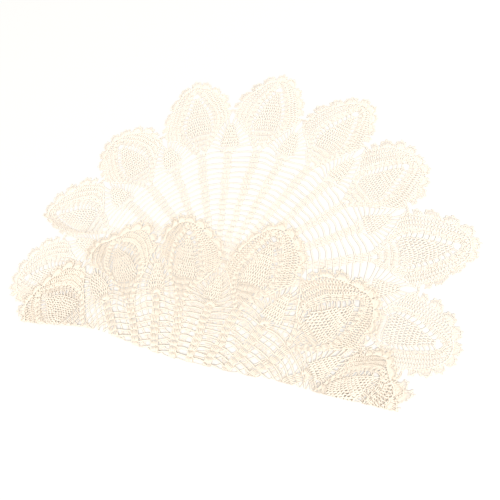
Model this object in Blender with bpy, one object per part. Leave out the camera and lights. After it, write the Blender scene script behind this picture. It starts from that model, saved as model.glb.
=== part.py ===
"""Round crochet tablecloth in pineapple lace, lying folded once along a chord.

The cloth is one openwork sheet, made in one piece from the middle out. Its outline and its largest
gaps are drawn as a flat curve, in the slightly uneven way in which the cloth lies, and the sheet is
then folded: the short part beyond the fold line lies face down on the long part.

Metres, +Z up. The origin is the middle of the crochet on the underside of the sheet, and the fold
runs along X on the -Y side.
"""

import math
from collections import namedtuple

import bmesh
import bpy

# The cloth, flat
PETALS = 15
VALLEY_RADIUS = 0.334  # middle to the notch between two petals
THICKNESS = 0.002
ROUND_PITCH = 0.0102  # one round of treble crochet
SECTOR = 2 * math.pi / PETALS

# A petal's rounded end: fans of edging stand along an arc about its own middle
PETAL_MIDDLE = 0.342  # from the middle of the cloth
FAN_CREST = 0.0605  # radius of the arc that the fans reach
TIP_RADIUS = PETAL_MIDDLE + FAN_CREST
FAN_DIP = 0.0560  # radius where two fans meet
FAN_STEP = math.radians(24.5)
FANS_EACH_SIDE = 3
CREST_HALF_WIDTH = math.radians(7.5)
CREST_SHOULDER = 0.0012  # how far a fan's shoulders stay below its crest
FLARE = 0.0085  # how much further out the arc lies where it nears the notch
FLARE_FROM = math.radians(50)
FLARE_TO = math.radians(97)

# Gaps
EYE_RADIUS = 0.0070
EYE_MIDDLE = 0.3700
EYE_SIDES = 8
BAR_WIDTH = 0.0022  # a chain bar, with the tips of the stitches that hold it
RIB_END = 0.2444  # the last bar between plain ribs
PLAIN_ROWS = 5  # gaps from there in, each of them two rounds high
Bar = namedtuple("Bar", "valley petal")  # radius at the valley's side and at the petal's
FANNED_BARS = (  # from the tip of the ladder in, beside the small pineapple
    Bar(0.3250, 0.3250), Bar(0.3010, 0.3090), Bar(0.2800, 0.2890), Bar(0.2615, 0.2670),
)

# Edges beside the ladders: how far the worked part stands out at each distance from the middle
Width = namedtuple("Width", "radius half_width")
RIB = (Width(0.130, 0.0055), Width(0.160, 0.0072), Width(0.190, 0.0082), Width(0.244, 0.0085))
PETAL_SIDE = (  # from the petal's axis: a plain rib that opens into the two sides of the petal
    *RIB, Width(0.254, 0.0110), Width(0.265, 0.0170), Width(0.2835, 0.0305), Width(0.3025, 0.0450),
    Width(0.320, 0.0600), Width(0.329, 0.0670),
)
VALLEY_PINEAPPLE = (  # from the valley's axis: a plain rib that swells into the small pineapple
    *RIB, Width(0.252, 0.0130), Width(0.260, 0.0155), Width(0.270, 0.0130), Width(0.280, 0.0100),
    Width(0.290, 0.0068), Width(0.300, 0.0030), Width(0.306, 0.0012),
)

# The fold
FOLD_DISTANCE = 0.141  # from the middle of the crochet to the fold's edge
BEND_RADIUS = 0.0030  # of the middle of the sheet round the fold
LAYER_GAP = 0.0011  # between the layers, once the flap has settled
SETTLE_LENGTH = 0.028  # in which the flap comes down from the fold
SETTLE_CUTS = (0.3, 0.7)  # shares of that length at which the flap's slope changes
BEND_STEPS = 4
Dip = namedtuple("Dip", "x depth spread")
FOLD_EDGE = (Dip(-0.185, 0.017, 0.092), Dip(0.155, 0.003, 0.040))  # the edge isn't quite straight
END_PULL = 0.018  # how far the two ends of the fold are drawn in
END_FROM = 0.270  # half-length of the fold that isn't
END_LENGTH = 0.065
END_DEPTH = 0.035  # how far to each side of the fold that reaches

# How the cloth lies: each petal's tip and the notch clockwise of it, as drawn out and as turned
FIRST_PETAL = math.radians(212)
LAID_FROM = 0.130  # inside this radius the cloth lies regular
Petal = namedtuple("Petal", "name tip_reach tip_turn notch_reach notch_turn lift")
LAYOUT = (
    Petal("flap, left end", 0.965, 0.5, 1.015, -1.4, 0.0008),
    Petal("left end", 0.970, 1.8, 0.955, -1.3, 0.0),
    Petal("left, bunched", 0.968, 4.2, 0.975, 0.2, 0.0),
    Petal("upper left", 0.980, 0.9, 0.985, -0.1, 0.0),
    Petal("back, drawn out", 1.055, -1.0, 1.020, -0.1, 0.0),
    Petal("back", 1.033, -1.0, 0.986, 0.0, 0.0),
    Petal("back right", 1.014, -1.2, 1.004, 1.0, 0.0),
    Petal("upper right", 0.970, 0.4, 0.983, 0.2, 0.0),
    Petal("right", 1.037, -1.1, 0.974, -0.4, 0.0),
    Petal("lower right", 0.998, -1.0, 1.014, 0.8, 0.0),
    Petal("flap, right end", 0.940, -4.2, 1.025, -0.3, 0.0008),
    Petal("flap, right", 1.016, 1.6, 1.022, -1.1, 0.0018),
    Petal("flap, middle right", 1.024, -2.2, 0.960, -0.9, 0.0014),
    Petal("flap, middle", 0.970, -2.1, 1.005, 0.3, 0.0020),
    Petal("flap, left", 0.932, -1.6, 1.050, 1.2, 0.0014),
)

SAME_POINT = 1e-6  # points this near each other are one
FACES_UP = 0.5  # a face is level if its normal's height is more than this

CREAM = (0.97, 0.88, 0.75, 1.0)
COTTON_ROUGHNESS = 0.92


def ease(share):
    """0 to 1, level at both ends."""
    share = min(max(share, 0.0), 1.0)
    return share * share * (3 - 2 * share)


def width_at(table, radius):
    """Half-width at a distance from the middle, straight between the rows of a table."""
    if radius <= table[0].radius:
        return table[0].half_width
    for low, high in zip(table, table[1:]):
        if radius <= high.radius:
            share = (radius - low.radius) / (high.radius - low.radius)
            return low.half_width + share * (high.half_width - low.half_width)
    return table[-1].half_width


def laid(radius, turn):
    """Where a point of the flat crochet lies; turn is clockwise from the first petal's axis."""
    place = (turn / SECTOR) % PETALS
    petal = int(place + 0.5) % PETALS
    offset = (place + 0.5) % 1.0 - 0.5
    here = LAYOUT[petal]
    notch = here if offset >= 0 else LAYOUT[petal - 1]
    share = ease(abs(offset) * 2)
    reach = here.tip_reach + share * (notch.notch_reach - here.tip_reach)
    shift = here.tip_turn + share * (notch.notch_turn - here.tip_turn)
    weight = ease((radius - LAID_FROM) / (VALLEY_RADIUS - LAID_FROM))
    out = radius * (1 + weight * (reach - 1))
    angle = FIRST_PETAL - turn + math.radians(weight * shift)
    return out * math.cos(angle), out * math.sin(angle)


def lift_at(x, y):
    """How far the flap stands off the layer below, at a place of the unfolded cloth."""
    radius = math.hypot(x, y)
    if radius <= VALLEY_RADIUS:
        return 0.0
    place = ((FIRST_PETAL - math.atan2(y, x)) / SECTOR) % PETALS
    petal = int(place + 0.5) % PETALS
    offset = (place + 0.5) % 1.0 - 0.5
    rise = ease((radius - VALLEY_RADIUS) / (TIP_RADIUS - VALLEY_RADIUS))
    return LAYOUT[petal].lift * rise * math.cos(math.pi * offset) ** 2


def fold_line(x):
    """The fold's outer edge."""
    y = -FOLD_DISTANCE
    for dip in FOLD_EDGE:
        y += dip.depth * math.exp(-(((x - dip.x) / dip.spread) ** 2))
    return y


def drawn_in(x, beyond):
    """Across the cloth: near the fold its two ends are drawn in towards the middle."""
    near_end = ease((abs(x) - END_FROM) / END_LENGTH)
    near_fold = 1 - ease(abs(beyond - math.pi * BEND_RADIUS / 2) / END_DEPTH)
    return x - math.copysign(END_PULL * near_end * near_fold, x)


def folded(x, beyond, height):
    """A point of the laid sheet, height above its middle plane, after the fold.

    beyond is the way past the start of the bend, measured along the sheet.
    """
    x = drawn_in(x, beyond)
    start = fold_line(x) + BEND_RADIUS
    level = THICKNESS / 2
    if beyond <= 0:
        y = start - beyond
        return x, y, level + height
    bend = math.pi * BEND_RADIUS
    if beyond < bend:
        angle = beyond / BEND_RADIUS
        reach = BEND_RADIUS - height
        return x, start - reach * math.sin(angle), level + BEND_RADIUS - reach * math.cos(angle)
    along = beyond - bend
    y = start + along
    settled = THICKNESS + LAYER_GAP
    drop = (2 * BEND_RADIUS - settled) * (1 - ease(along / SETTLE_LENGTH))
    return x, y, level + settled + drop - height + lift_at(x, start - beyond)


def petal_outline(petal):
    """The fans round one petal's end and the notch after it."""
    axis = petal * SECTOR
    points = []
    for fan in range(-FANS_EACH_SIDE - 1, FANS_EACH_SIDE + 1):
        middle = fan * FAN_STEP
        steps = (
            (middle - CREST_HALF_WIDTH, FAN_CREST - CREST_SHOULDER),
            (middle, FAN_CREST),
            (middle + CREST_HALF_WIDTH, FAN_CREST - CREST_SHOULDER),
            (middle + FAN_STEP / 2, FAN_DIP),
        )
        if fan < -FANS_EACH_SIDE:
            steps = steps[3:]
        for angle, reach in steps:
            reach += FLARE * ease((abs(angle) - FLARE_FROM) / (FLARE_TO - FLARE_FROM))
            across = reach * math.sin(angle)
            out = PETAL_MIDDLE + reach * math.cos(angle)
            points.append(laid(math.hypot(across, out), axis + math.atan2(across, out)))
    points.append(laid(VALLEY_RADIUS, axis + SECTOR / 2))
    return points


def ladder_gap(petal, side, low, high):
    """One gap between the petal's side and the valley's, between two bars."""
    axis = petal * SECTOR
    corners = []
    for bar, away in ((low, BAR_WIDTH / 2), (high, -BAR_WIDTH / 2)):
        radius = bar.petal + away
        near = side * width_at(PETAL_SIDE, radius) / radius
        corners.append(laid(radius, axis + near))
        radius = bar.valley + away
        far = side * (SECTOR / 2 - width_at(VALLEY_PINEAPPLE, radius) / radius)
        corners.append(laid(radius, axis + far))
    low_near, low_far, high_near, high_far = corners
    return [low_near, low_far, high_far, high_near]


def gaps(petal):
    """All the gaps cut in one repeat of the pattern."""
    axis = petal * SECTOR
    plain = [RIB_END - row * 2 * ROUND_PITCH for row in range(PLAIN_ROWS + 1)]
    bars = [*FANNED_BARS, *(Bar(radius, radius) for radius in plain)]
    for high, low in zip(bars, bars[1:]):
        for side in (-1, 1):
            yield ladder_gap(petal, side, low, high)
    eye = []
    for step in range(EYE_SIDES):
        angle = 2 * math.pi * (step + 0.5) / EYE_SIDES
        across = EYE_RADIUS * math.sin(angle)
        out = EYE_MIDDLE + EYE_RADIUS * math.cos(angle)
        eye.append(laid(math.hypot(across, out), axis + math.atan2(across, out)))
    yield eye


def cotton_material():
    material = bpy.data.materials.new("cream cotton")
    material.use_nodes = True
    shader = material.node_tree.nodes["Principled BSDF"]
    shader.inputs["Base Color"].default_value = CREAM
    shader.inputs["Roughness"].default_value = COTTON_ROUGHNESS
    shader.inputs["Metallic"].default_value = 0.0
    return material


def add_loop(curve, points):
    spline = curve.splines.new("POLY")
    spline.points.add(len(points) - 1)
    for point, (x, y) in zip(spline.points, points):
        point.co = (x, y, 0, 1)
    spline.use_cyclic_u = True


def flat_cloth(collection):
    """The laid cloth before the fold: a filled flat curve with its gaps, made a mesh."""
    curve = bpy.data.curves.new("flat cloth", "CURVE")
    curve.dimensions = "2D"
    curve.fill_mode = "BOTH"
    curve.extrude = THICKNESS / 2
    outline = []
    for petal in range(PETALS):
        outline.extend(petal_outline(petal))
    add_loop(curve, outline)
    for petal in range(PETALS):
        for gap in gaps(petal):
            add_loop(curve, gap)
    guide = bpy.data.objects.new("flat cloth", curve)
    collection.objects.link(guide)
    graph = bpy.context.evaluated_depsgraph_get()
    mesh = bpy.data.meshes.new_from_object(guide.evaluated_get(graph))
    bpy.data.objects.remove(guide)
    return mesh


def fold_cloth(mesh):
    """Cuts edge lines along the fold, then carries each point round it."""
    shape = bmesh.new()
    shape.from_mesh(mesh)
    bmesh.ops.remove_doubles(shape, verts=shape.verts, dist=SAME_POINT)
    level = [face for face in shape.faces if abs(face.normal.z) > FACES_UP]
    inner = [
        edge for edge in shape.edges if all(abs(face.normal.z) > FACES_UP for face in edge.link_faces)
    ]
    bmesh.ops.beautify_fill(shape, faces=level, edges=inner, method="AREA")
    for vert in shape.verts:
        vert.co.y = fold_line(vert.co.x) + BEND_RADIUS - vert.co.y
    bend = math.pi * BEND_RADIUS
    lines = [bend * step / BEND_STEPS for step in range(BEND_STEPS + 1)]
    lines += [bend + SETTLE_LENGTH * share for share in SETTLE_CUTS]
    for beyond in lines:
        everything = shape.verts[:] + shape.edges[:] + shape.faces[:]
        bmesh.ops.bisect_plane(
            shape, geom=everything, dist=SAME_POINT, plane_co=(0, beyond, 0), plane_no=(0, 1, 0)
        )
    bmesh.ops.triangulate(shape, faces=shape.faces)
    for vert in shape.verts:
        vert.co = folded(*vert.co)
    bmesh.ops.recalc_face_normals(shape, faces=shape.faces)
    shape.to_mesh(mesh)
    shape.free()


def main():
    for old in list(bpy.data.objects):
        bpy.data.objects.remove(old)
    collection = bpy.data.collections.new("Crochet tablecloth")
    bpy.context.scene.collection.children.link(collection)
    mesh = flat_cloth(collection)
    fold_cloth(mesh)
    mesh.name = "tablecloth"
    mesh.materials.clear()
    mesh.materials.append(cotton_material())
    tablecloth = bpy.data.objects.new("tablecloth", mesh)
    collection.objects.link(tablecloth)


main()
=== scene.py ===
"""Round crochet tablecloth in pineapple lace, folded over once, worked stitch by stitch.

Each kind of stitch is modelled once as a short piece of yarn. Copies of it follow curves on the flat
cloth, and the flat cloth is then laid out and folded as its solid is.
"""

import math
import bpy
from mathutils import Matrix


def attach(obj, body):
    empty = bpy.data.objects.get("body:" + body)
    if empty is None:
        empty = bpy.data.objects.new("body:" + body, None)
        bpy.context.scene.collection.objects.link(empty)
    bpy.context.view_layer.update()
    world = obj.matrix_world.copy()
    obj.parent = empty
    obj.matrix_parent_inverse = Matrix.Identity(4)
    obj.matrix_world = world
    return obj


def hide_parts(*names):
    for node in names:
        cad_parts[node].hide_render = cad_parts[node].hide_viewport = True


bl_info = {
    "name": "Crochet tablecloth",
    "version": (1, 0, 0),
    "blender": (4, 5, 0),
    "location": "View3D > Sidebar > Tablecloth",
    "description": "A round pineapple lace tablecloth, folded over once, worked stitch by stitch",
    "category": "Add Mesh",
}

from collections import namedtuple

import bpy
import numpy as np
from bpy.props import FloatProperty, FloatVectorProperty, PointerProperty
from mathutils import Quaternion, Vector

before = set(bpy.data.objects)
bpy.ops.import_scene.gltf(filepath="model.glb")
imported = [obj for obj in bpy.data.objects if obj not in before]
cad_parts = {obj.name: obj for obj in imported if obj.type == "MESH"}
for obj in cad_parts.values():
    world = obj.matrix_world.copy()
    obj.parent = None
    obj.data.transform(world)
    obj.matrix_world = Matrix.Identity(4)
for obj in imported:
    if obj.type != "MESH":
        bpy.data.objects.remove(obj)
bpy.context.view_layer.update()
CLOTH_NODE = "tablecloth"

# The cloth, flat, in metres
PETALS = 15
SECTOR = 2 * math.pi / PETALS
TIP_RADIUS = 0.4025
VALLEY_RADIUS = 0.334
THICKNESS = 0.002
ROUND_PITCH = 0.0102
Width = namedtuple("Width", "radius half_width")
RIB = (Width(0.130, 0.0055), Width(0.160, 0.0072), Width(0.190, 0.0082), Width(0.244, 0.0085))

# The fold
FOLD_DISTANCE = 0.141
BEND_RADIUS = 0.0030
LAYER_GAP = 0.0011
SETTLE_LENGTH = 0.028  # over which the flap comes down from the bend to that gap
Dip = namedtuple("Dip", "x depth spread")
FOLD_EDGE = (  # places where the edge lies further in
    Dip(-0.185, 0.017, 0.092), Dip(0.155, 0.003, 0.040),
)
END_PULL = 0.018  # how far the fold's two ends are drawn in
END_FROM = 0.270  # from so far along the fold
END_LENGTH = 0.065  # over which that grows
END_DEPTH = 0.035  # and over which it fades, away from the edge

# How the cloth lies: each tip and the notch clockwise of it, drawn out by a factor and turned by degrees
FIRST_PETAL = math.radians(212)
LAID_FROM = 0.130
Petal = namedtuple("Petal", "name tip_reach tip_turn notch_reach notch_turn lift")
LAYOUT = (
    Petal("flap, left end", 0.965, 0.5, 1.015, -1.4, 0.0008),
    Petal("left end", 0.970, 1.8, 0.955, -1.3, 0.0),
    Petal("left, bunched", 0.968, 4.2, 0.975, 0.2, 0.0),
    Petal("upper left", 0.980, 0.9, 0.985, -0.1, 0.0),
    Petal("back, drawn out", 1.055, -1.0, 1.020, -0.1, 0.0),
    Petal("back", 1.033, -1.0, 0.986, 0.0, 0.0),
    Petal("back right", 1.014, -1.2, 1.004, 1.0, 0.0),
    Petal("upper right", 0.970, 0.4, 0.983, 0.2, 0.0),
    Petal("right", 1.037, -1.1, 0.974, -0.4, 0.0),
    Petal("lower right", 0.998, -1.0, 1.014, 0.8, 0.0),
    Petal("flap, right end", 0.940, -4.2, 1.025, -0.3, 0.0008),
    Petal("flap, right", 1.016, 1.6, 1.022, -1.1, 0.0018),
    Petal("flap, middle right", 1.024, -2.2, 0.960, -0.9, 0.0014),
    Petal("flap, middle", 0.970, -2.1, 1.005, 0.3, 0.0020),
    Petal("flap, left", 0.932, -1.6, 1.050, 1.2, 0.0014),
)
LAID = {field: np.array([getattr(petal, field) for petal in LAYOUT]) for field in Petal._fields[1:]}

# Centre: plain rounds of trebles, then shells that start the ribs
RING_RADIUS = 0.0050
RING_CHAINS = 12
CENTRE_PITCH = 0.00954
CENTRE_ROUNDS = (24, 48, 72, 90, 120, 150, 150)  # the trebles of each
CENTRE_TREBLE_WIDTH = 1.2
RIBS_FROM = 0.0718
CENTRE_RIB_SHELLS = 4  # of a rib's shells, so many belong to the centre piece
RIB_SHELLS = 17
CENTRE_RIB_SHARE = 0.47  # a rib's half-width near the centre, as a share of the way to the next rib

# Beyond the ribs, across and out from a petal's or a valley's axis
Spot = namedtuple("Spot", "across out")
PETAL_SIDE = (  # centre line of the shells that run up a petal's side and meet at its tip
    Spot(0.0038, 0.2460), Spot(0.0120, 0.2620), Spot(0.0240, 0.2800), Spot(0.0313, 0.2950),
    Spot(0.0335, 0.3100), Spot(0.0323, 0.3250), Spot(0.0280, 0.3400), Spot(0.0210, 0.3550),
    Spot(0.0145, 0.3660), Spot(0.0080, 0.3760), Spot(0.0, 0.3815),
)
SIDE_SHELLS = 16
SIDE_HALF_WIDTH = 0.0048
SIDE_START_WIDTHS = (0.0030, 0.0042)  # half-widths of the first ones
SIDE_STEP = 0.01  # of its length, over which the way of a side is taken
PETAL_MIDDLE = 0.342  # where the round of a petal's end has its middle
PETAL_EDGE = (  # from the petal's axis to the outside of its worked side
    *RIB, Width(0.254, 0.0110), Width(0.265, 0.0170), Width(0.2835, 0.0305), Width(0.3025, 0.0450),
    Width(0.320, 0.0600), Width(0.329, 0.0670),
)
PETAL_FLANK_ROWS = 4  # so many rows of it run along the petal's outer rounds
FLARE = 0.0085  # how much further out a petal's end reaches where it nears the notch
FLARE_FROM = math.radians(50)
FLARE_TO = math.radians(97)
END_POINTS = 30  # along half a petal's end

# The rounds between those shells and the edging
ROUNDS_SHARE = 0.34  # where they leave the shells, as a share of the way up the petal's side
ROUND_TREBLES = 56
PETAL_ROUNDS = 4
PETAL_ROUND = 0.0078  # height of one
ROUND_LEAN = 0.016  # half of how far its crossed trebles lean, as a share of its length
ROUND_CROSS = 0.0002  # how far one of two crossed trebles lies above the middle of both
ROUND_OVERLAP = 0.16  # how far a treble's foot reaches into the round before, as a share of its length
ROUND_SHORTEST = 0.0022
ROUNDS_HOLD = 0.7  # where the first one's feet stand on the shells, as a share of the half-width
ROUND_WIDTH = 1.20
ROUNDS_LEAN = ((0, 0.17, 0.48, 0.65, 1), (0, 0.26, 0.52, 0.67, 1))  # shares of the inner and outer line

# Pineapples
SMALL_PINEAPPLE = (
    *RIB, Width(0.252, 0.0130), Width(0.260, 0.0158), Width(0.270, 0.0148), Width(0.280, 0.0124),
    Width(0.290, 0.0090), Width(0.300, 0.0048), Width(0.306, 0.0018),
)
SMALL_STEM = 0.2440
SMALL_FAN = (0.0040, 0.0160)  # from where to where its trebles reach
SMALL_FAN_TREBLES = 11
SMALL_FAN_HALF = math.radians(72)
SMALL_ROWS_FROM = 0.2575
SMALL_ROWS = 8
PETAL_PINEAPPLE = (
    Width(0.288, 0.0215), Width(0.300, 0.0228), Width(0.312, 0.0215), Width(0.324, 0.0188),
    Width(0.336, 0.0148), Width(0.347, 0.0098), Width(0.356, 0.0054), Width(0.364, 0.0022),
)
PETAL_ROWS_FROM = 0.2890
PETAL_ROWS = 13
LOOP_ROW = 0.0058
LOOP_SPACING = 0.0042
LOOP_REACH = 1.22  # how far a loop reaches, as a share of its row's height
LOOP_CLOSE = 0.0004  # how much narrower it is at its top, on each side
SMALL_LOOP_WIDTH = 1.30  # as a share of a chain's width, as the widths below are
PETAL_LOOP_WIDTH = 1.25
PETAL_GROUND = (  # half-width of the plain trebles between a petal's sides
    Width(0.256, 0.0010), Width(0.262, 0.0060), Width(0.280, 0.0180), Width(0.290, 0.0230),
)
GROUND_FROM = 0.2560
GROUND_ROW = 0.0107
GROUND_ROWS = 3
GROUND_SPACING = 0.0024
GROUND_FOOT = 0.86  # a row's width at its foot, as a share of its width

# Bars of chain: the ladders between ribs, beside the small pineapples and inside the petals
Bow = namedtuple("Bow", "mean spread")  # how far bars bow outwards, as shares of their length
LADDER_WIDTH = 1.32
LADDER_LEVEL = 0.92  # where on a shell's side a bar is held, as a share of the shell's height
LADDER_HOLD = 0.90  # and of its half-width
LADDER_SHORTEST = 0.002
LADDER_BOW = Bow(0.035, 0.022)
LADDER_LEAST_BOW = 0.0004
LADDER_SAG = 0.0005
FANNED_WIDTH = 1.12  # of those beside the small pineapple
FANNED_HOLD = (0.92, 0.95)  # where they are held, as shares of the pineapple's and the petal's edge
FANNED_BOW = Bow(0.05, 0.025)
LADDER_BARS = 9  # from the small pineapple to the petal's side, on each side of it
LADDER_FROM = Spot(0.2520, 0.2580)  # first bar's radius at the small pineapple and at the petal
LADDER_TO = Spot(0.3030, 0.3230)
PETAL_BARS = 10
PETAL_BARS_FROM = 0.2980
PETAL_BARS_TO = 0.3620
PETAL_BARS_REACH = (0.405, 0.885)  # where they end, as shares of the way up the petal's side
PETAL_BAR_WIDTH = 1.10
PETAL_BAR_HOLD = 0.9  # where they are held on the petal's shells, as a share of the half-width
PETAL_BAR_BOW = Bow(0.09, 0.03)
SHELL_WIDTH = 1.18  # of a shell's posts, as a share of a treble's width

# The band that joins two petals
ARCH_HALF_WIDTH = 0.0070
ARCH_RADIUS = 0.3315
ARCH_BOW = 0.0012
ARCH_BAND = 0.0019
ARCH_POINTS = 7

# Edging, round a petal's end
FANS_EACH_SIDE = 3
FAN_STEP = math.radians(24.5)
FAN_FOOT = 0.0475
FAN_TOP = 0.0592
FAN_BULGE = 0.0075  # how much shorter a fan's outer trebles are
FAN_UNEVEN = math.radians(0.8)
FAN_TREBLES = 12
FAN_GATHER = 0.36  # half the width of a fan's foot, as a share of the way to the next fan
FAN_SPREAD = 0.46  # half the width of its head
FAN_WIDTH = 1.20
PICOTS = (-0.62, 0.0, 0.62)  # places on a fan's head, in half-widths
PICOT_REACH = 0.0034
PICOT_SPREAD = 0.0024
PICOT_FOOT = 0.0006
PICOT_WIDTH = 1.0

# How the rounds waver in the plane, as waves across the way they run, in degrees
Drift = namedtuple("Drift", "size length way")
DRIFTS = (Drift(0.0011, 0.083, 20), Drift(0.0009, 0.051, 115), Drift(0.0006, 0.031, 68))

# How the cloth's surface rises and falls, never below its solid's
Ripple = namedtuple("Ripple", "height length way")
RIPPLES = (Ripple(0.0005, 0.071, 35), Ripple(0.0004, 0.043, 140))

# Creases in the flap, from place to place, with their height and half-width
Crease = namedtuple("Crease", "start end height half_width")
CREASES = (
    Crease((0.205, -0.070), (0.330, -0.110), 0.0016, 0.012),
    Crease((0.120, -0.020), (0.250, 0.015), 0.0012, 0.014),
    Crease((0.060, -0.030), (0.170, -0.095), 0.0012, 0.014),
    Crease((-0.100, 0.030), (-0.215, -0.010), 0.0012, 0.014),
    Crease((-0.230, -0.060), (-0.330, -0.100), 0.0014, 0.012),
)
CREASE_TAPER = 0.3  # the share of a crease's length over which each end fades


class YarnSizes(bpy.types.PropertyGroup):
    chain_width: FloatProperty(
        name="Chain width", description="Width of a chain stitch", default=0.0024, unit="LENGTH"
    )
    chain_length: FloatProperty(
        name="Chain length", description="Length of one chain stitch", default=0.0030, unit="LENGTH"
    )
    treble_width: FloatProperty(
        name="Treble width", description="Width of a treble's post", default=0.0022, unit="LENGTH"
    )
    yarn_height: FloatProperty(
        name="Height", description="Height of a stitch, as a share of its width", default=0.38
    )
    ply_pitch: FloatProperty(
        name="Ply pitch", description="Length of one turn of the yarn's plies", default=0.0016,
        unit="LENGTH",
    )
    stray: FloatProperty(
        name="Stray", description="How far a stitch strays from its place", default=0.00038,
        unit="LENGTH",
    )


class TableclothColours(bpy.types.PropertyGroup):
    cotton: FloatVectorProperty(
        name="Cotton", description="Colour of the yarn", subtype="COLOR", size=4, min=0, max=1,
        default=(0.985, 0.90, 0.79, 1),
    )
    # Deep cotton is the colour of the yellowed patches and also the painted shade down each stitch's sides
    # and underside.
    cotton_yellowed_and_shaded: FloatVectorProperty(
        name="Deep cotton", description="Colour of the yarn where it has yellowed", subtype="COLOR",
        size=4, min=0, max=1, default=(0.98, 0.85, 0.69, 1),
    )
    floor: FloatVectorProperty(
        name="Floor", description="Colour of the floor", subtype="COLOR", size=4, min=0, max=1,
        default=(0.775, 0.765, 0.742, 1),
    )
    light: FloatVectorProperty(
        name="Light", description="Colour of the studio's light", subtype="COLOR", size=4, min=0,
        max=1, default=(1, 1, 1, 1),
    )


def ease(share):
    share = np.clip(share, 0, 1)
    return share * share * (3 - 2 * share)


def width_at(table, radius):
    return np.interp(radius, [row.radius for row in table], [row.half_width for row in table])


def laid(radius, turn):
    """Where points of the flat crochet lie; turn is clockwise from the first petal's axis."""
    place = (turn / SECTOR) % PETALS
    petal = (place + 0.5).astype(int) % PETALS
    offset = (place + 0.5) % 1.0 - 0.5
    notch = np.where(offset >= 0, petal, (petal - 1) % PETALS)
    share = ease(np.abs(offset) * 2)
    reach = LAID["tip_reach"][petal] * (1 - share) + share * LAID["notch_reach"][notch]
    shift = LAID["tip_turn"][petal] * (1 - share) + share * LAID["notch_turn"][notch]
    weight = ease((radius - LAID_FROM) / (VALLEY_RADIUS - LAID_FROM))
    out = radius * (1 + weight * (reach - 1))
    angle = FIRST_PETAL - turn + np.radians(weight * shift)
    return out * np.cos(angle), out * np.sin(angle)


def wavered(x, y):
    """Where points of the flat crochet really are, as its rounds run a little unevenly."""
    for drift in DRIFTS:
        way = math.radians(drift.way)
        along = x * math.cos(way) + y * math.sin(way)
        away = drift.size * np.sin(2 * math.pi * along / drift.length)
        x, y = x - away * math.sin(way), y + away * math.cos(way)
    return x, y


def rippled(x, y):
    """How far the lying cloth rises above its solid."""
    rise = np.zeros_like(x)
    for ripple in RIPPLES:
        way = math.radians(ripple.way)
        along = x * math.cos(way) + y * math.sin(way)
        rise += ripple.height * np.sin(math.pi * along / ripple.length) ** 2
    return rise


def creased(x, y):
    """How far the flap's creases rise."""
    rise = np.zeros_like(x)
    for crease in CREASES:
        start, end = np.array(crease.start), np.array(crease.end)
        length = math.dist(crease.start, crease.end)
        lead = (end - start) / length
        along = (x - start[0]) * lead[0] + (y - start[1]) * lead[1]
        away = (y - start[1]) * lead[0] - (x - start[0]) * lead[1]
        share = along / length
        fade = ease(share / CREASE_TAPER) * ease((1 - share) / CREASE_TAPER)
        rise += crease.height * fade * np.exp(-((away / crease.half_width) ** 2))
    return rise


def lift_at(x, y):
    """How far the flap stands off the layer below, at a place of the unfolded cloth."""
    radius = np.hypot(x, y)
    place = ((FIRST_PETAL - np.arctan2(y, x)) / SECTOR) % PETALS
    petal = (place + 0.5).astype(int) % PETALS
    offset = (place + 0.5) % 1.0 - 0.5
    rise = ease((radius - VALLEY_RADIUS) / (TIP_RADIUS - VALLEY_RADIUS))
    return LAID["lift"][petal] * rise * np.cos(math.pi * offset) ** 2


def fold_line(x):
    y = np.full_like(x, -FOLD_DISTANCE)
    for dip in FOLD_EDGE:
        y += dip.depth * np.exp(-(((x - dip.x) / dip.spread) ** 2))
    return y


def drawn_in(x, beyond):
    near_end = ease((np.abs(x) - END_FROM) / END_LENGTH)
    near_fold = 1 - ease(np.abs(beyond - math.pi * BEND_RADIUS / 2) / END_DEPTH)
    return x - np.copysign(END_PULL * near_end * near_fold, x)


def folded(x, y, height):
    """Points of the laid sheet, height above its middle plane, after the fold."""
    beyond = fold_line(x) + BEND_RADIUS - y
    x = drawn_in(x, beyond)
    start = fold_line(x) + BEND_RADIUS
    level = THICKNESS / 2
    bend = math.pi * BEND_RADIUS
    angle = np.clip(beyond, 0, bend) / BEND_RADIUS
    along = np.maximum(beyond - bend, 0)
    inside = np.maximum(-beyond, 0)
    reach = BEND_RADIUS - height
    flap = beyond >= bend
    lying = beyond <= 0
    y = np.where(lying, start + inside, np.where(flap, start + along, start - reach * np.sin(angle)))
    settled = THICKNESS + LAYER_GAP
    away = ease(np.where(flap, along, inside) / SETTLE_LENGTH)
    drop = (2 * BEND_RADIUS - settled) * (1 - away)
    rise = rippled(x, y) * away
    lower = level + height + rise
    upper = level + settled + drop - height + rise + lift_at(x, start - beyond) + creased(x, y) * away
    round_it = level + BEND_RADIUS - reach * np.cos(angle)
    return x, y, np.where(lying, lower, np.where(flap, upper, round_it))


def select_nothing():
    if bpy.context.mode != "OBJECT":
        bpy.ops.object.mode_set(mode="OBJECT")
    bpy.ops.object.select_all(action="DESELECT")


Stitch = namedtuple("Stitch", "across height along corners starts sides")


def read_stitch(piece):
    """A modelled stitch as arrays: it stands on the origin, 1 long, and across and height are in metres."""
    mesh = piece.data
    points = np.empty(len(mesh.vertices) * 3)
    mesh.vertices.foreach_get("co", points)
    corners = np.empty(len(mesh.loops), int)
    mesh.loops.foreach_get("vertex_index", corners)
    starts = np.empty(len(mesh.polygons), int)
    mesh.polygons.foreach_get("loop_start", starts)
    points = points.reshape(-1, 3)
    around = np.arctan2(points[:, 1], points[:, 0])
    bpy.data.objects.remove(piece)
    return Stitch(points[:, 0], points[:, 1], points[:, 2], corners, starts, around)


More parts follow.
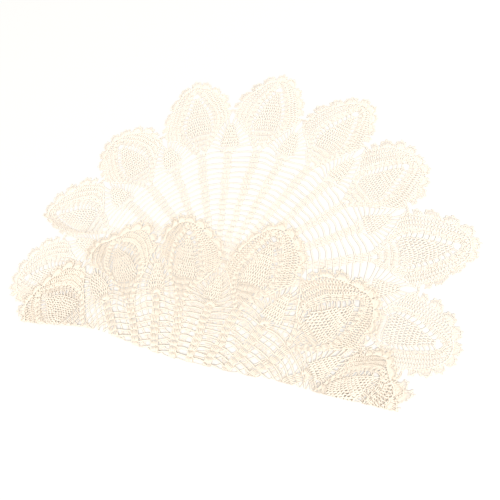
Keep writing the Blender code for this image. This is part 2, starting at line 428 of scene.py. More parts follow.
YARN_SIDES = 4
SAME_POINT = 1e-5
CHAIN_NECK = 0.66  # a chain's width where its stitches meet, as a share of its full width
CHAIN_GROOVE = 0.35
CHAIN_WIDEST = 0.42  # where along a stitch it is widest
Step = namedtuple("Step", "level grow")
TREBLE_FOOT = 0.70  # width of a treble's foot, as a share of the treble's width
TREBLE_STEPS = (Step(0.30, 1.45), Step(0.66, 1.30 / 1.45), Step(1.0, 0.75 / 1.30))
TREBLE_TWIST = math.radians(38)  # from one step to the next
STRAY_UP = 0.5  # how far a stitch strays up or down, as a share of how far it strays aside
FLOOR_CLEARANCE = 0.0001


def chain_stitch(sizes, links):
    """A chain of so many stitches: each swells, and has a groove between its two legs."""
    select_nothing()
    wide = sizes.chain_width / 2
    narrow = wide * CHAIN_NECK
    bpy.ops.mesh.primitive_circle_add(vertices=YARN_SIDES, radius=narrow, fill_type="NOTHING")
    link = bpy.context.object
    for vertex in link.data.vertices:
        vertex.select = vertex.co.y > narrow / 2
    bpy.ops.object.mode_set(mode="EDIT")
    bpy.ops.mesh.select_mode(type="VERT")
    bpy.ops.transform.translate(value=(0, -narrow * CHAIN_GROOVE, 0))
    bpy.ops.mesh.select_all(action="SELECT")
    bpy.ops.transform.resize(value=(1, sizes.yarn_height, 1), center_override=(0, 0, 0))
    swell = wide / narrow
    bpy.ops.mesh.extrude_region_move(TRANSFORM_OT_translate={"value": (0, 0, CHAIN_WIDEST)})
    bpy.ops.transform.resize(value=(swell, swell, 1), center_override=(0, 0, CHAIN_WIDEST))
    bpy.ops.mesh.extrude_region_move(TRANSFORM_OT_translate={"value": (0, 0, 1 - CHAIN_WIDEST)})
    bpy.ops.transform.resize(value=(1 / swell, 1 / swell, 1), center_override=(0, 0, 1))
    bpy.ops.object.mode_set(mode="OBJECT")
    row = link.modifiers.new("row", "ARRAY")
    row.count = links
    row.use_relative_offset = False
    row.use_constant_offset = True
    row.constant_offset_displace = (0, 0, 1)
    row.use_merge_vertices = True
    row.merge_threshold = SAME_POINT
    bpy.ops.object.modifier_apply(modifier=row.name)
    bpy.ops.object.mode_set(mode="EDIT")
    bpy.ops.mesh.select_all(action="SELECT")
    bpy.ops.mesh.fill_holes(sides=YARN_SIDES)
    bpy.ops.mesh.select_all(action="SELECT")
    bpy.ops.transform.resize(value=(1, 1, 1 / links), center_override=(0, 0, 0))
    bpy.ops.mesh.normals_make_consistent(inside=False)
    bpy.ops.object.mode_set(mode="OBJECT")
    return read_stitch(link)


def treble_stitch(sizes):
    """A treble's post: it thickens, and its wraps turn round it."""
    select_nothing()
    foot = sizes.treble_width / 2 * TREBLE_FOOT
    bpy.ops.mesh.primitive_circle_add(vertices=YARN_SIDES, radius=foot, fill_type="NGON")
    post = bpy.context.object
    bpy.ops.object.mode_set(mode="EDIT")
    bpy.ops.mesh.select_all(action="SELECT")
    bpy.ops.transform.resize(value=(1, sizes.yarn_height, 1), center_override=(0, 0, 0))
    low = 0
    for level, grow in TREBLE_STEPS:
        bpy.ops.mesh.extrude_region_move(TRANSFORM_OT_translate={"value": (0, 0, level - low)})
        bpy.ops.transform.resize(value=(grow, grow, 1), center_override=(0, 0, level))
        bpy.ops.transform.rotate(value=TREBLE_TWIST, orient_axis="Z", center_override=(0, 0, level))
        low = level
    bpy.ops.mesh.select_all(action="SELECT")
    bpy.ops.mesh.normals_make_consistent(inside=False)
    bpy.ops.object.mode_set(mode="OBJECT")
    return read_stitch(post)


class Crochet:
    """The stitches of one piece, gathered as arrays."""

    def __init__(self, context, seed):
        self.sizes = context.scene.yarn_sizes
        self.chance = np.random.default_rng(seed)
        self.chains = {}
        self.treble = treble_stitch(self.sizes)
        self.places, self.yarn, self.corners, self.starts = [], [], [], []
        self.points = 0
        self.loops = 0

    def work(self, stitch, paths, width=1.0):
        """Copies a stitch along cubic curves on the flat cloth, given as (copies, 4, 3)."""
        paths = np.asarray(paths, float)
        copies = len(paths)
        done, left = stitch.along, 1 - stitch.along
        weights = np.stack([left**3, 3 * done * left**2, 3 * done * done * left, done**3], 1)
        slopes = np.stack(
            [-3 * left**2, 3 * left * (1 - 3 * done), 3 * done * (2 - 3 * done), 3 * done * done], 1
        )
        middle = np.einsum("vb,kbc->kvc", weights, paths)
        ahead = np.einsum("vb,kbc->kvc", slopes, paths)[..., :2]
        ahead /= np.maximum(np.linalg.norm(ahead, axis=2, keepdims=True), SAME_POINT**2)
        side = np.stack([-ahead[..., 1], ahead[..., 0]], 2)
        middle[..., :2] += side * (stitch.across * width)[None, :, None]
        middle[..., 2] += stitch.height * width
        length = np.linalg.norm(np.diff(paths, axis=1), axis=2).sum(1)
        start = self.chance.uniform(0, 1, copies)
        yarn = np.empty((copies, len(done), 3))
        yarn[..., 0] = done * length[:, None] + start[:, None]
        yarn[..., 1] = np.cos(stitch.sides)
        yarn[..., 2] = np.sin(stitch.sides)
        first_point = self.points + np.arange(copies) * len(done)
        first_loop = self.loops + np.arange(copies) * len(stitch.corners)
        self.places.append(middle.reshape(-1, 3))
        self.yarn.append(yarn.reshape(-1, 3))
        self.corners.append((first_point[:, None] + stitch.corners).ravel())
        self.starts.append((first_loop[:, None] + stitch.starts).ravel())
        self.points += copies * len(done)
        self.loops += copies * len(stitch.corners)

    def chain(self, paths, width=1.0):
        """Chains along curves, each with as many stitches as its length takes."""
        paths = self.strayed(paths)
        length = np.linalg.norm(np.diff(paths, axis=1), axis=2).sum(1)
        links = np.maximum(np.round(length / self.sizes.chain_length).astype(int), 1)
        for count in np.unique(links):
            if count not in self.chains:
                self.chains[count] = chain_stitch(self.sizes, int(count))
            self.work(self.chains[count], paths[links == count], width)

    def trebles(self, paths, width=1.0):
        self.work(self.treble, self.strayed(paths), width)

    def strayed(self, paths):
        paths = np.array(paths, float)
        away = self.chance.normal(0, self.sizes.stray, paths.shape)
        away[..., 2] *= STRAY_UP
        return paths + away

    def finish(self, name, material):
        """The piece as one mesh, laid out and folded."""
        flat = np.concatenate(self.places)
        x, y = wavered(flat[:, 0], flat[:, 1])
        x, y = laid(np.hypot(x, y), np.arctan2(y, x))
        height = np.maximum(flat[:, 2], FLOOR_CLEARANCE - THICKNESS / 2)
        places = np.stack(folded(x, y, height), 1)
        corners, starts = np.concatenate(self.corners), np.concatenate(self.starts)
        mesh = bpy.data.meshes.new(name)
        mesh.vertices.add(len(places))
        mesh.vertices.foreach_set("co", places.ravel())
        mesh.loops.add(len(corners))
        mesh.loops.foreach_set("vertex_index", corners)
        mesh.polygons.add(len(starts))
        mesh.polygons.foreach_set("loop_start", starts)
        mesh.update(calc_edges=True)
        mesh.validate()
        mesh.flip_normals()  # turns run clockwise, so laying the cloth out mirrors each stitch
        yarn = mesh.attributes.new("yarn", "FLOAT_VECTOR", "POINT")
        yarn.data.foreach_set("vector", np.concatenate(self.yarn).ravel())
        mesh.shade_smooth()
        mesh.materials.append(material)
        piece = bpy.data.objects.new(name, mesh)
        bpy.context.scene.collection.objects.link(piece)
        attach(piece, "root")
        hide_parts(CLOTH_NODE)
        return piece


def straight(start, end):
    """Curves from start to end, each (copies, 3)."""
    start, end = np.asarray(start, float), np.asarray(end, float)
    return np.stack([start, start + (end - start) / 3, start + (end - start) * 2 / 3, end], 1)


def bowed(start, end, bow):
    """Curves from start to end that bow outwards, away from the middle of the cloth."""
    paths = straight(start, end)
    middle = (paths[:, 1, :2] + paths[:, 2, :2]) / 2
    out = middle / np.linalg.norm(middle, axis=1, keepdims=True)
    paths[:, 1:3, :2] += (out * np.asarray(bow)[:, None] * 4 / 3)[:, None, :]
    return paths


def beside_axis(points, turn=0.0):
    """Points given as (across, out, height) from an axis, as points on the flat cloth."""
    across, out, height = np.moveaxis(np.asarray(points, float), -1, 0)
    return np.stack([
        out * math.cos(turn) - across * math.sin(turn),
        out * math.sin(turn) + across * math.cos(turn),
        height,
    ], -1)


def at_radius(radius, turn, height=0.0):
    """Points on the flat cloth by radius and turn."""
    radius, turn, height = np.broadcast_arrays(radius, turn, height)
    return np.stack([radius * np.cos(turn), radius * np.sin(turn), height], -1)


def all_round(paths, turns):
    """Copies of curves that lie beside the axis at turn 0, for each of the turns."""
    paths = np.asarray(paths, float)
    copies = []
    for turn in turns:
        turned = paths.copy()
        turned[..., 0] = paths[..., 0] * math.cos(turn) - paths[..., 1] * math.sin(turn)
        turned[..., 1] = paths[..., 0] * math.sin(turn) + paths[..., 1] * math.cos(turn)
        copies.append(turned)
    return np.concatenate(copies)


def in_petals(points):
    """Curves given beside an axis as (across, out, height), on the flat cloth in every petal."""
    return all_round(beside_axis(points), PETAL_TURNS)


def in_valleys(points):
    return all_round(beside_axis(points), VALLEY_TURNS)


def both_sides(points):
    """Curves given beside an axis as (across, out, height), with their mirror images."""
    points = np.asarray(points, float)
    return np.concatenate([points, points * (-1, 1, 1)])


PETAL_TURNS = [SECTOR * petal for petal in range(PETALS)]
VALLEY_TURNS = [SECTOR * (petal + 0.5) for petal in range(PETALS)]
RIB_TURNS = [SECTOR / 2 * rib for rib in range(2 * PETALS)]
Post = namedtuple("Post", "foot_across foot_along top_across top_along")
SHELL = (  # three trebles, two chains, three trebles, as shares of the half-width and the height
    Post(-0.72, -0.06, -0.86, 0.96), Post(-0.44, -0.08, -0.52, 1.0), Post(-0.14, -0.10, -0.18, 1.02),
    Post(0.14, -0.10, 0.18, 1.02), Post(0.44, -0.08, 0.52, 1.0), Post(0.72, -0.06, 0.86, 0.96),
)
SIDE_SHELL = (  # two trebles, two chains, two trebles
    Post(-0.62, 0.08, -0.84, 0.98), Post(-0.20, 0.0, -0.30, 1.02), Post(0.20, 0.0, 0.30, 1.02),
    Post(0.62, 0.08, 0.84, 0.98),
)
SHELL_TOP = ((-0.98, 0.90), (-0.45, 1.10), (0.45, 1.10), (0.98, 0.90))  # the chain across its tops
FOOT_HEIGHT = -0.0003
TOP_HEIGHT = 0.0002
CHAIN_HEIGHT = 0.0004


def shells(line, half_width, shell):
    """A column of shells, one between each two points of a line of (across, out).

    Gives the paths of the posts and of the chains across their tops.
    """
    line, half_width = np.asarray(line, float), np.asarray(half_width, float)
    step = np.diff(line, axis=0)
    lead = step / np.linalg.norm(step, axis=1, keepdims=True)
    side = np.stack([lead[:, 1], -lead[:, 0]], 1)
    turn = np.concatenate([side[:1], (side[:-1] + side[1:]) / 2, side[-1:]])

    def cell(across, along):
        """Points of every cell at one place in it."""
        middle = line[:-1] + step * along
        way = turn[:-1] * (1 - along) + turn[1:] * along
        wide = half_width[:-1] * (1 - along) + half_width[1:] * along
        return middle + way * (wide * across)[:, None]

    posts = [
        straight(
            with_height(cell(post.foot_across, post.foot_along), FOOT_HEIGHT),
            with_height(cell(post.top_across, post.top_along), TOP_HEIGHT),
        )
        for post in shell
    ]
    tops = np.stack([with_height(cell(*place), CHAIN_HEIGHT) for place in SHELL_TOP], 1)
    return np.concatenate(posts), tops


def rib_width(radius):
    """A rib's half-width; near the centre the ribs stand close."""
    return np.minimum(width_at(RIB, radius), radius * SECTOR / 2 * CENTRE_RIB_SHARE)


def rib(first, last):
    """A rib's shells from round first to round last, beside its own axis."""
    out = RIBS_FROM + ROUND_PITCH * np.arange(first, last + 1)
    line = np.stack([np.zeros_like(out), out], 1)
    return shells(line, rib_width(out), SHELL)


def rib_ladders(crochet, first, last):
    """The chains from rib to rib at the top of each round of shells."""
    radius = RIBS_FROM + ROUND_PITCH * (np.arange(first, last) + LADDER_LEVEL)
    spread = rib_width(radius) * LADDER_HOLD / radius
    start = at_radius(radius, spread, CHAIN_HEIGHT)
    end = at_radius(radius, SECTOR / 2 - spread, CHAIN_HEIGHT)
    length = np.linalg.norm(end - start, axis=1)
    keep = length > LADDER_SHORTEST
    starts, ends = all_round(start[keep], RIB_TURNS), all_round(end[keep], RIB_TURNS)
    lengths = np.tile(length[keep], len(RIB_TURNS))
    bow = LADDER_LEAST_BOW + lengths * crochet.chance.normal(*LADDER_BOW, len(lengths))
    paths = bowed(starts, ends, bow)
    paths[:, 1:3, 2] -= crochet.chance.uniform(0, LADDER_SAG, (len(paths), 2))
    crochet.chain(paths, width=LADDER_WIDTH)


def add_ribs(crochet, first, last):
    posts, tops = rib(first, last)
    crochet.trebles(all_round(beside_axis(posts), RIB_TURNS), width=SHELL_WIDTH)
    crochet.chain(all_round(beside_axis(tops), RIB_TURNS))
    rib_ladders(crochet, first, last)


def ring_of_chain(radius, count):
    """Short chains end to end in a circle."""
    turn = 2 * math.pi * np.arange(count + 1) / count
    spots = at_radius(radius, turn, CHAIN_HEIGHT)
    return straight(spots[:-1], spots[1:])


def along_line(line, shares):
    """Points at shares of a line's length."""
    line = np.asarray(line, float)
    way = np.concatenate([[0], np.cumsum(np.linalg.norm(np.diff(line, axis=0), axis=1))])
    way /= way[-1]
    return np.stack([np.interp(shares, way, part) for part in line.T], 1)


def beside_line(line, shares, away):
    """Points beside a petal's side line, away towards its outside, as (across, out)."""
    after, before = np.minimum(shares + SIDE_STEP, 1), np.maximum(shares - SIDE_STEP, 0)
    lead = along_line(line, after) - along_line(line, before)
    lead /= np.linalg.norm(lead, axis=1, keepdims=True)
    outside = np.stack([lead[:, 1], -lead[:, 0]], 1)
    return along_line(line, shares) + outside * away


def with_height(points, height):
    return np.concatenate([points, np.full((len(points), 1), height)], 1)


def at_height(across, out, height):
    """Points by how far across they are; out and height are given once or for each."""
    return np.stack([across, np.full_like(across, out), np.full_like(across, height)], 1)


def fan(middle, angles, foot, top):
    """Trebles that stand in a fan about a middle, from radius foot to radius top."""
    way = np.stack([np.sin(angles), np.cos(angles)], 1)
    feet, tops = np.asarray(middle) + way * foot, np.asarray(middle) + way * top
    return straight(with_height(feet, FOOT_HEIGHT), with_height(tops, TOP_HEIGHT))


def flared(angle):
    """How much further than its round a petal's end reaches, at an angle about its middle."""
    return FLARE * ease((np.abs(angle) - FLARE_FROM) / (FLARE_TO - FLARE_FROM))


def petal_outside():
    """The line from where a petal's rounds start, up its flank and under the edging, as (across, out)."""
    radius, width = np.array(PETAL_EDGE[-PETAL_FLANK_ROWS:]).T
    flank = np.stack([radius * np.sin(width / radius), radius * np.cos(width / radius)], 1)
    angles = np.linspace(FLARE_TO, 0, END_POINTS)
    way = np.stack([np.sin(angles), np.cos(angles)], 1)
    return np.concatenate([flank, way * (FAN_FOOT + flared(angles))[:, None] + (0, PETAL_MIDDLE)])


def loop_rows(table, first, count):
    """Rows of chain loops that fill a shape, as curves of (across, out, height)."""
    loops = []
    for row in range(count):
        low = first + row * LOOP_ROW
        half_width = float(width_at(table, low + LOOP_ROW / 2))
        number = max(1, round(2 * half_width / LOOP_SPACING))
        if number > 2 and (number + row) % 2:  # every other row is half a loop aside
            number += 1
        edges = np.linspace(-half_width, half_width, number + 1)
        for left, right in zip(edges, edges[1:]):
            high = low + LOOP_ROW * LOOP_REACH
            loops.append([
                (left, low, FOOT_HEIGHT), (left + LOOP_CLOSE, high, TOP_HEIGHT),
                (right - LOOP_CLOSE, high, TOP_HEIGHT), (right, low, FOOT_HEIGHT),
            ])
    return np.array(loops)


COTTON_ROUGHNESS = 0.85
COTTON_SHEEN = 0.15
SHEEN_ROUGHNESS = 0.5
PATCH_SCALE, PATCH_DETAIL = 9.0, 3.0  # of the yellowed patches
FLECK_SCALE, FLECK_DETAIL = 900.0, 2.0
PAINTED_SHADE_FROM = 0.9  # from this height of a stitch's side down, shade is painted into its colour
PAINTED_SHADE_FULL = -0.3  # and from this one on the painted shade is at its deepest
BUMP_STRENGTH = 0.4
BUMP_DEPTH = 0.0002


def noise(tree, place, scale, detail):
    node = tree.nodes.new("ShaderNodeTexNoise")
    node.inputs["Scale"].default_value = scale
    node.inputs["Detail"].default_value = detail
    tree.links.new(place, node.inputs["Vector"])
    return node.outputs["Fac"]


def worked_out(tree, operation, *values, clamp=False):
    """The result of a maths node that works on numbers and on other nodes' results."""
    node = tree.nodes.new("ShaderNodeMath")
    node.operation = operation
    node.use_clamp = clamp
    for value, socket in zip(values, node.inputs):
        if isinstance(value, float):
            socket.default_value = value
        else:
            tree.links.new(value, socket)
    return node.outputs["Value"]


def cotton_material(context):
    """Cream cotton yarn: soft, with the twist of its plies, a little fuzz, and shade painted down each
    stitch's sides.
    """
    material = bpy.data.materials.get("cream cotton")
    if material:
        return material
    sizes, colours = context.scene.yarn_sizes, context.scene.tablecloth_colours
    material = bpy.data.materials.new("cream cotton")
    material.use_nodes = True
    tree = material.node_tree
    nodes, links = tree.nodes, tree.links
    shader = nodes["Principled BSDF"]
    shader.inputs["Roughness"].default_value = COTTON_ROUGHNESS
    shader.inputs["Sheen Weight"].default_value = COTTON_SHEEN
    shader.inputs["Sheen Roughness"].default_value = SHEEN_ROUGHNESS
    place = nodes.new("ShaderNodeTexCoord").outputs["Object"]
    patches = noise(tree, place, PATCH_SCALE, PATCH_DETAIL)
    flecks = noise(tree, place, FLECK_SCALE, FLECK_DETAIL)
    yellowed = worked_out(tree, "MULTIPLY", patches, flecks)
    yarn = nodes.new("ShaderNodeAttribute")
    yarn.attribute_name = "yarn"
    parts = nodes.new("ShaderNodeSeparateXYZ")
    links.new(yarn.outputs["Vector"], parts.inputs["Vector"])
    painted_side_shade = nodes.new("ShaderNodeMapRange")  # painted shade: a stitch is darker down its sides and underside
    painted_side_shade.inputs["From Min"].default_value = PAINTED_SHADE_FROM
    painted_side_shade.inputs["From Max"].default_value = PAINTED_SHADE_FULL
    links.new(parts.outputs["Z"], painted_side_shade.inputs["Value"])
    # the yellowed patches and the painted shade together set how far the colour goes to the deep cotton
    yellowing_and_painted_shade = worked_out(tree, "ADD", yellowed, painted_side_shade.outputs["Result"], clamp=True)
    colour = nodes.new("ShaderNodeMix")
    colour.data_type = "RGBA"
    colour.inputs["A"].default_value = colours.cotton
    colour.inputs["B"].default_value = colours.cotton_yellowed_and_shaded
    links.new(yellowing_and_painted_shade, colour.inputs["Factor"])
    links.new(colour.outputs["Result"], shader.inputs["Base Color"])
    turn = worked_out(tree, "MULTIPLY", parts.outputs["X"], 2 * math.pi / sizes.ply_pitch)
    waves = [
        worked_out(tree, "MULTIPLY", worked_out(tree, wave, turn), parts.outputs[part])
        for wave, part in (("SINE", "Y"), ("COSINE", "Z"))
    ]
    fuzz = worked_out(tree, "ADD", worked_out(tree, "ADD", *waves), flecks)
    bump = nodes.new("ShaderNodeBump")
    bump.inputs["Strength"].default_value = BUMP_STRENGTH
    bump.inputs["Distance"].default_value = BUMP_DEPTH
    links.new(fuzz, bump.inputs["Height"])
    links.new(bump.outputs["Normal"], shader.inputs["Normal"])
    return material


class TABLECLOTH_OT_centre(bpy.types.Operator):
    """Work the ring, the plain rounds and the first shells of the ribs"""

    bl_idname = "tablecloth.centre"
    bl_label = "Centre rounds"

    def execute(self, context):
        crochet = Crochet(context, seed=11)
        crochet.chain(ring_of_chain(RING_RADIUS, RING_CHAINS))
        low = RING_RADIUS
        for trebles in CENTRE_ROUNDS:
            turn = 2 * math.pi * (np.arange(trebles) + 0.5) / trebles
            top = low + CENTRE_PITCH
            posts = straight(at_radius(low, turn, FOOT_HEIGHT), at_radius(top, turn, TOP_HEIGHT))
            crochet.trebles(posts, width=CENTRE_TREBLE_WIDTH)
            crochet.chain(ring_of_chain(top, trebles))
            low = top
        add_ribs(crochet, 0, CENTRE_RIB_SHELLS)
        crochet.finish("centre_rounds", cotton_material(context))
        return {"FINISHED"}


class TABLECLOTH_OT_ground(bpy.types.Operator):
    """Work the ribs of shells with the ladders of chain between them"""

    bl_idname = "tablecloth.ground"
    bl_label = "Ribs and ladders"

    def execute(self, context):
        crochet = Crochet(context, seed=12)
        add_ribs(crochet, CENTRE_RIB_SHELLS, RIB_SHELLS)
        crochet.finish("ribs_and_ladders", cotton_material(context))
        return {"FINISHED"}


class TABLECLOTH_OT_small_pineapples(bpy.types.Operator):
    """Work the small pineapples in the valleys and the ladders beside them"""

    bl_idname = "tablecloth.small_pineapples"
    bl_label = "Small pineapples"

    def execute(self, context):
        crochet = Crochet(context, seed=13)
        angles = np.linspace(-SMALL_FAN_HALF, SMALL_FAN_HALF, SMALL_FAN_TREBLES)
        posts = fan((0, SMALL_STEM), angles, *SMALL_FAN)
        crochet.trebles(in_valleys(posts), width=SHELL_WIDTH)
        loops = loop_rows(SMALL_PINEAPPLE, SMALL_ROWS_FROM, SMALL_ROWS)
        crochet.chain(in_valleys(loops), width=SMALL_LOOP_WIDTH)
        self.ladders(crochet)
        self.arches(crochet)
        crochet.finish("small_pineapples", cotton_material(context))
        return {"FINISHED"}

    def ladders(self, crochet):
        step = np.linspace(0, 1, LADDER_BARS)
        low = LADDER_FROM.across + step * (LADDER_TO.across - LADDER_FROM.across)
        high = LADDER_FROM.out + step * (LADDER_TO.out - LADDER_FROM.out)
        inner = width_at(SMALL_PINEAPPLE, low) / low * FANNED_HOLD[0]
        outer = SECTOR / 2 - width_at(PETAL_EDGE, high) / high * FANNED_HOLD[1]
        for side in (-1, 1):
            start = at_radius(low, side * inner, CHAIN_HEIGHT)
            end = at_radius(high, side * outer, CHAIN_HEIGHT)
            starts, ends = all_round(start, VALLEY_TURNS), all_round(end, VALLEY_TURNS)
            length = np.linalg.norm(ends - starts, axis=1)
            bow = length * crochet.chance.normal(*FANNED_BOW, len(length))
            crochet.chain(bowed(starts, ends, bow), width=FANNED_WIDTH)

    def arches(self, crochet):
        """The band that joins two petals above the small pineapple."""
        across = np.linspace(-ARCH_HALF_WIDTH, ARCH_HALF_WIDTH, ARCH_POINTS)
        foot = ARCH_RADIUS - (across / ARCH_HALF_WIDTH) ** 2 * ARCH_BOW
        feet = at_height(across, foot, CHAIN_HEIGHT)
        for row in (feet, feet + (0, ARCH_BAND, 0)):
            paths = in_valleys(straight(row[:-1], row[1:]))
            crochet.chain(paths)


class TABLECLOTH_OT_petals(bpy.types.Operator):
    """Work the shells up the petals' sides, the plain trebles at their foot and their short ladders"""

    bl_idname = "tablecloth.petals"
    bl_label = "Petals"

    def execute(self, context):
        crochet = Crochet(context, seed=14)
        line = along_line(PETAL_SIDE, np.linspace(0, 1, SIDE_SHELLS + 1))
        half_width = np.full(len(line), SIDE_HALF_WIDTH)
        half_width[:2] = SIDE_START_WIDTHS
        posts, tops = shells(line, half_width, SIDE_SHELL)
        crochet.trebles(in_petals(both_sides(posts)), width=SHELL_WIDTH)
        crochet.chain(in_petals(both_sides(tops)))
        self.ground(crochet)
        self.bars(crochet)
        crochet.finish("petals", cotton_material(context))
        return {"FINISHED"}

    def ground(self, crochet):
        """Plain rows of trebles between a petal's sides."""
        for row in range(GROUND_ROWS):
            low = GROUND_FROM + row * GROUND_ROW
            high = low + GROUND_ROW
            half_width = float(width_at(PETAL_GROUND, (low + high) / 2))
            number = max(2, round(2 * half_width / GROUND_SPACING))
            across = np.linspace(-half_width, half_width, number)
            feet = at_height(across * GROUND_FOOT, low, FOOT_HEIGHT)
            tops = at_height(across, high, TOP_HEIGHT)
            crochet.trebles(in_petals(straight(feet, tops)))
            crochet.chain(in_petals(straight(tops[:-1], tops[1:])))

    def bars(self, crochet):
        """Bars from the petal's pineapple to its sides, fanned towards the tip."""
        low = np.linspace(PETAL_BARS_FROM, PETAL_BARS_TO, PETAL_BARS)
        start = np.stack([width_at(PETAL_PINEAPPLE, low), low], 1)
        reach = np.linspace(*PETAL_BARS_REACH, PETAL_BARS)
        end = beside_line(PETAL_SIDE, reach, -SIDE_HALF_WIDTH * PETAL_BAR_HOLD)
        paths = both_sides(straight(with_height(start, CHAIN_HEIGHT), with_height(end, CHAIN_HEIGHT)))
        starts = in_petals(paths[:, 0])
        ends = in_petals(paths[:, 3])
        length = np.linalg.norm(ends - starts, axis=1)
        bow = length * crochet.chance.normal(*PETAL_BAR_BOW, len(length))
        crochet.chain(bowed(starts, ends, bow), width=PETAL_BAR_WIDTH)


class TABLECLOTH_OT_petal_rounds(bpy.types.Operator):
    """Work the rounds of trebles between the petals' shells and the edging"""

    bl_idname = "tablecloth.petal_rounds"
    bl_label = "Petal rounds"

    def execute(self, context):
        crochet = Crochet(context, seed=17)
        place = np.linspace(0, 1, ROUND_TREBLES)
        lean = np.where(np.arange(ROUND_TREBLES) % 2, 1, -1) * ROUND_LEAN
        for row in range(PETAL_ROUNDS):
            feet = self.off_shells(np.clip(place - lean, 0, 1), row)
            heads = self.off_shells(np.clip(place + lean, 0, 1), row + 1)
            feet -= (heads - feet) * ROUND_OVERLAP
            keep = np.linalg.norm(heads - feet, axis=1) > ROUND_SHORTEST
            height = (np.sign(lean) * ROUND_CROSS)[keep, None]
            posts = straight(np.hstack([feet[keep], height]), np.hstack([heads[keep], height]))
            crochet.trebles(in_petals(both_sides(posts)), width=ROUND_WIDTH)
            lean = -lean
        crochet.finish("petal_rounds", cotton_material(context))
        return {"FINISHED"}

    def off_shells(self, share, rounds):
        """Points so many rounds off the petal's shells, but not past the edging's foot, up it by share."""
        place = ROUNDS_SHARE + share * (1 - ROUNDS_SHARE)
        inner = beside_line(PETAL_SIDE, place, SIDE_HALF_WIDTH * ROUNDS_HOLD)
        outer = along_line(petal_outside(), np.interp(share, *ROUNDS_LEAN))
        away = np.linalg.norm(outer - inner, axis=1, keepdims=True)
        if rounds == PETAL_ROUNDS:
            return outer
        return inner + (outer - inner) * np.minimum(rounds * PETAL_ROUND / away, 1)


class TABLECLOTH_OT_petal_pineapples(bpy.types.Operator):
    """Work the pineapples of loops in the petals"""

    bl_idname = "tablecloth.petal_pineapples"
    bl_label = "Petal pineapples"

    def execute(self, context):
        crochet = Crochet(context, seed=15)
        loops = loop_rows(PETAL_PINEAPPLE, PETAL_ROWS_FROM, PETAL_ROWS)
        crochet.chain(in_petals(loops), width=PETAL_LOOP_WIDTH)
        crochet.finish("petal_pineapples", cotton_material(context))
        return {"FINISHED"}


class TABLECLOTH_OT_edging(bpy.types.Operator):
    """Work the fans of trebles with picots round each petal's end"""

    bl_idname = "tablecloth.edging"
    bl_label = "Shell edging"

    def execute(self, context):
        crochet = Crochet(context, seed=16)
        posts, tops, picots = [], [], []
        for place in range(-FANS_EACH_SIDE - 1, FANS_EACH_SIDE + 2):
            turn = place * FAN_STEP + crochet.chance.normal(0, FAN_UNEVEN)
            share = np.linspace(-1, 1, FAN_TREBLES)
            carried = np.array(PICOTS)
            if abs(place) > FANS_EACH_SIDE:  # by the notch only half a fan has room
                share = share[share * place < 0]
                carried = carried[carried * place < 0]
            feet = self.at_end(turn + share * FAN_STEP * FAN_GATHER, FAN_FOOT)
            heads = with_height(self.head(turn, share), TOP_HEIGHT)
            posts.append(straight(with_height(feet, FOOT_HEIGHT), heads))
            tops.append(straight(heads[:-1], heads[1:]))
            picots.extend(self.picot(self.head(turn, spot), turn + spot * FAN_STEP / 2) for spot in carried)
        posts, tops = np.concatenate(posts), np.concatenate(tops)
        crochet.trebles(in_petals(posts), width=FAN_WIDTH)
        crochet.chain(in_petals(tops))
        crochet.chain(in_petals(picots), width=PICOT_WIDTH)
        crochet.finish("shell_edging", cotton_material(context))
        return {"FINISHED"}

    def head(self, turn, share):
        """Points of a fan's rounded top edge, as (across, out)."""
        return self.at_end(turn + share * FAN_STEP * FAN_SPREAD, FAN_TOP - FAN_BULGE * share**2)

    def at_end(self, angle, reach):
        """Points of a petal's end, by their angle about its middle and their reach."""
        reach = reach + flared(angle)
        return np.stack([reach * np.sin(angle), PETAL_MIDDLE + reach * np.cos(angle)], -1)

    def picot(self, head, angle):
        """A small loop of chain on a fan's head."""
        head = np.append(head, TOP_HEIGHT)
        out = np.array((math.sin(angle), math.cos(angle), 0))
        side = np.array((math.cos(angle), -math.sin(angle), 0))
        return np.stack([
            head - side * PICOT_FOOT, head + out * PICOT_REACH - side * PICOT_SPREAD,
            head + out * PICOT_REACH + side * PICOT_SPREAD, head + side * PICOT_FOOT,
        ])


# Stage
CAMERA_TARGET = Vector((0.0410, 0.0633, 0.0))
CAMERA_AZIMUTH = math.radians(47.15)
CAMERA_ELEVATION = math.radians(58.02)
CAMERA_ROLL = math.radians(-33.0)
CAMERA_DISTANCE = 1.2065
CAMERA_LENS = 53.13
CAMERA_SENSOR = 36
FLOOR_SIZE = 12
FLOOR_ROUGHNESS = 0.9
STUDIO_STRENGTH = 0.60
LAMP_SIZE = 6.0
LAMP_POWER = 1400
LAMP_PLACE = (4.66, -4.32, 10.18)
PICTURE_GAMMA = 1.2


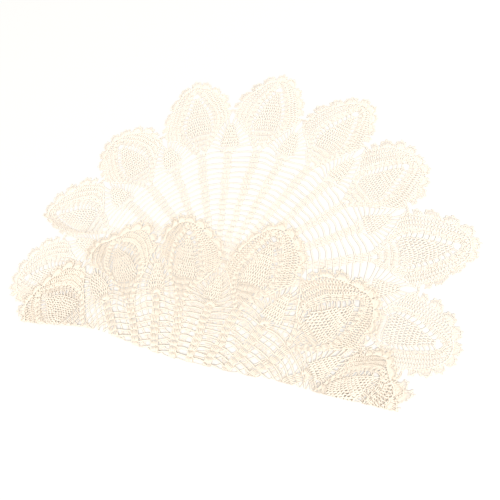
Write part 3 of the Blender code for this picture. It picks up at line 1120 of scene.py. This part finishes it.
class TABLECLOTH_OT_stage(bpy.types.Operator):
    """Set up the floor, the studio's light and the camera"""

    bl_idname = "tablecloth.stage"
    bl_label = "Stage"

    def execute(self, context):
        self.floor(context)
        self.lights(context)
        self.camera(context)
        return {"FINISHED"}

    def floor(self, context):
        select_nothing()
        bpy.ops.mesh.primitive_plane_add(size=FLOOR_SIZE, location=(0, 0, 0))
        floor = context.object
        floor.name = "floor"
        material = bpy.data.materials.new("pale floor")
        material.use_nodes = True
        shader = material.node_tree.nodes["Principled BSDF"]
        shader.inputs["Base Color"].default_value = context.scene.tablecloth_colours.floor
        shader.inputs["Roughness"].default_value = FLOOR_ROUGHNESS
        floor.data.materials.append(material)

    def lights(self, context):
        world = bpy.data.worlds.new("studio")
        world.use_nodes = True
        background = world.node_tree.nodes["Background"]
        background.inputs["Color"].default_value = context.scene.tablecloth_colours.light
        background.inputs["Strength"].default_value = STUDIO_STRENGTH
        context.scene.world = world
        lamp = bpy.data.lights.new("soft box", "AREA")
        lamp.shape = "DISK"
        lamp.size = LAMP_SIZE
        lamp.energy = LAMP_POWER
        lamp.color = context.scene.tablecloth_colours.light[:3]
        box = bpy.data.objects.new("soft box", lamp)
        box.location = LAMP_PLACE
        box.rotation_mode = "QUATERNION"
        box.rotation_quaternion = (-box.location).to_track_quat("-Z", "Y")
        context.scene.collection.objects.link(box)
        context.scene.view_settings.view_transform = "Standard"
        context.scene.view_settings.gamma = PICTURE_GAMMA

    def camera(self, context):
        level = math.cos(CAMERA_ELEVATION)
        back = Vector((
            math.sin(CAMERA_AZIMUTH) * level, -math.cos(CAMERA_AZIMUTH) * level,
            math.sin(CAMERA_ELEVATION),
        ))
        lens = bpy.data.cameras.new("camera")
        lens.sensor_width = CAMERA_SENSOR
        lens.lens = CAMERA_LENS
        camera = bpy.data.objects.new("camera", lens)
        camera.location = CAMERA_TARGET + back * CAMERA_DISTANCE
        camera.rotation_mode = "QUATERNION"
        roll = Quaternion((0, 0, 1), CAMERA_ROLL)
        camera.rotation_quaternion = (-back).to_track_quat("-Z", "Y") @ roll
        context.scene.collection.objects.link(camera)
        context.scene.camera = camera


class TABLECLOTH_PT_panel(bpy.types.Panel):
    """Lists the tablecloth's pieces"""

    bl_idname = "TABLECLOTH_PT_panel"
    bl_label = "Tablecloth"
    bl_space_type = "VIEW_3D"
    bl_region_type = "UI"
    bl_category = "Tablecloth"

    def draw(self, context):
        for group in (context.scene.yarn_sizes, context.scene.tablecloth_colours):
            for name in group.__annotations__:
                self.layout.prop(group, name)
        for operator in OPERATORS:
            self.layout.operator(operator.bl_idname)


OPERATORS = (
    TABLECLOTH_OT_stage,
    TABLECLOTH_OT_centre,
    TABLECLOTH_OT_ground,
    TABLECLOTH_OT_small_pineapples,
    TABLECLOTH_OT_petals,
    TABLECLOTH_OT_petal_rounds,
    TABLECLOTH_OT_petal_pineapples,
    TABLECLOTH_OT_edging,
)
GROUPS = (YarnSizes, TableclothColours)


def register():
    for group in (*GROUPS, *OPERATORS, TABLECLOTH_PT_panel):
        bpy.utils.register_class(group)
    bpy.types.Scene.yarn_sizes = PointerProperty(type=YarnSizes)
    bpy.types.Scene.tablecloth_colours = PointerProperty(type=TableclothColours)


def unregister():
    del bpy.types.Scene.tablecloth_colours
    del bpy.types.Scene.yarn_sizes
    for group in (TABLECLOTH_PT_panel, *reversed(OPERATORS), *reversed(GROUPS)):
        bpy.utils.unregister_class(group)


def main():
    register()
    bpy.ops.tablecloth.stage()
    bpy.ops.tablecloth.centre()
    bpy.ops.tablecloth.ground()
    bpy.ops.tablecloth.small_pineapples()
    bpy.ops.tablecloth.petals()
    bpy.ops.tablecloth.petal_rounds()
    bpy.ops.tablecloth.petal_pineapples()
    bpy.ops.tablecloth.edging()


if __name__ == "__main__":
    main()
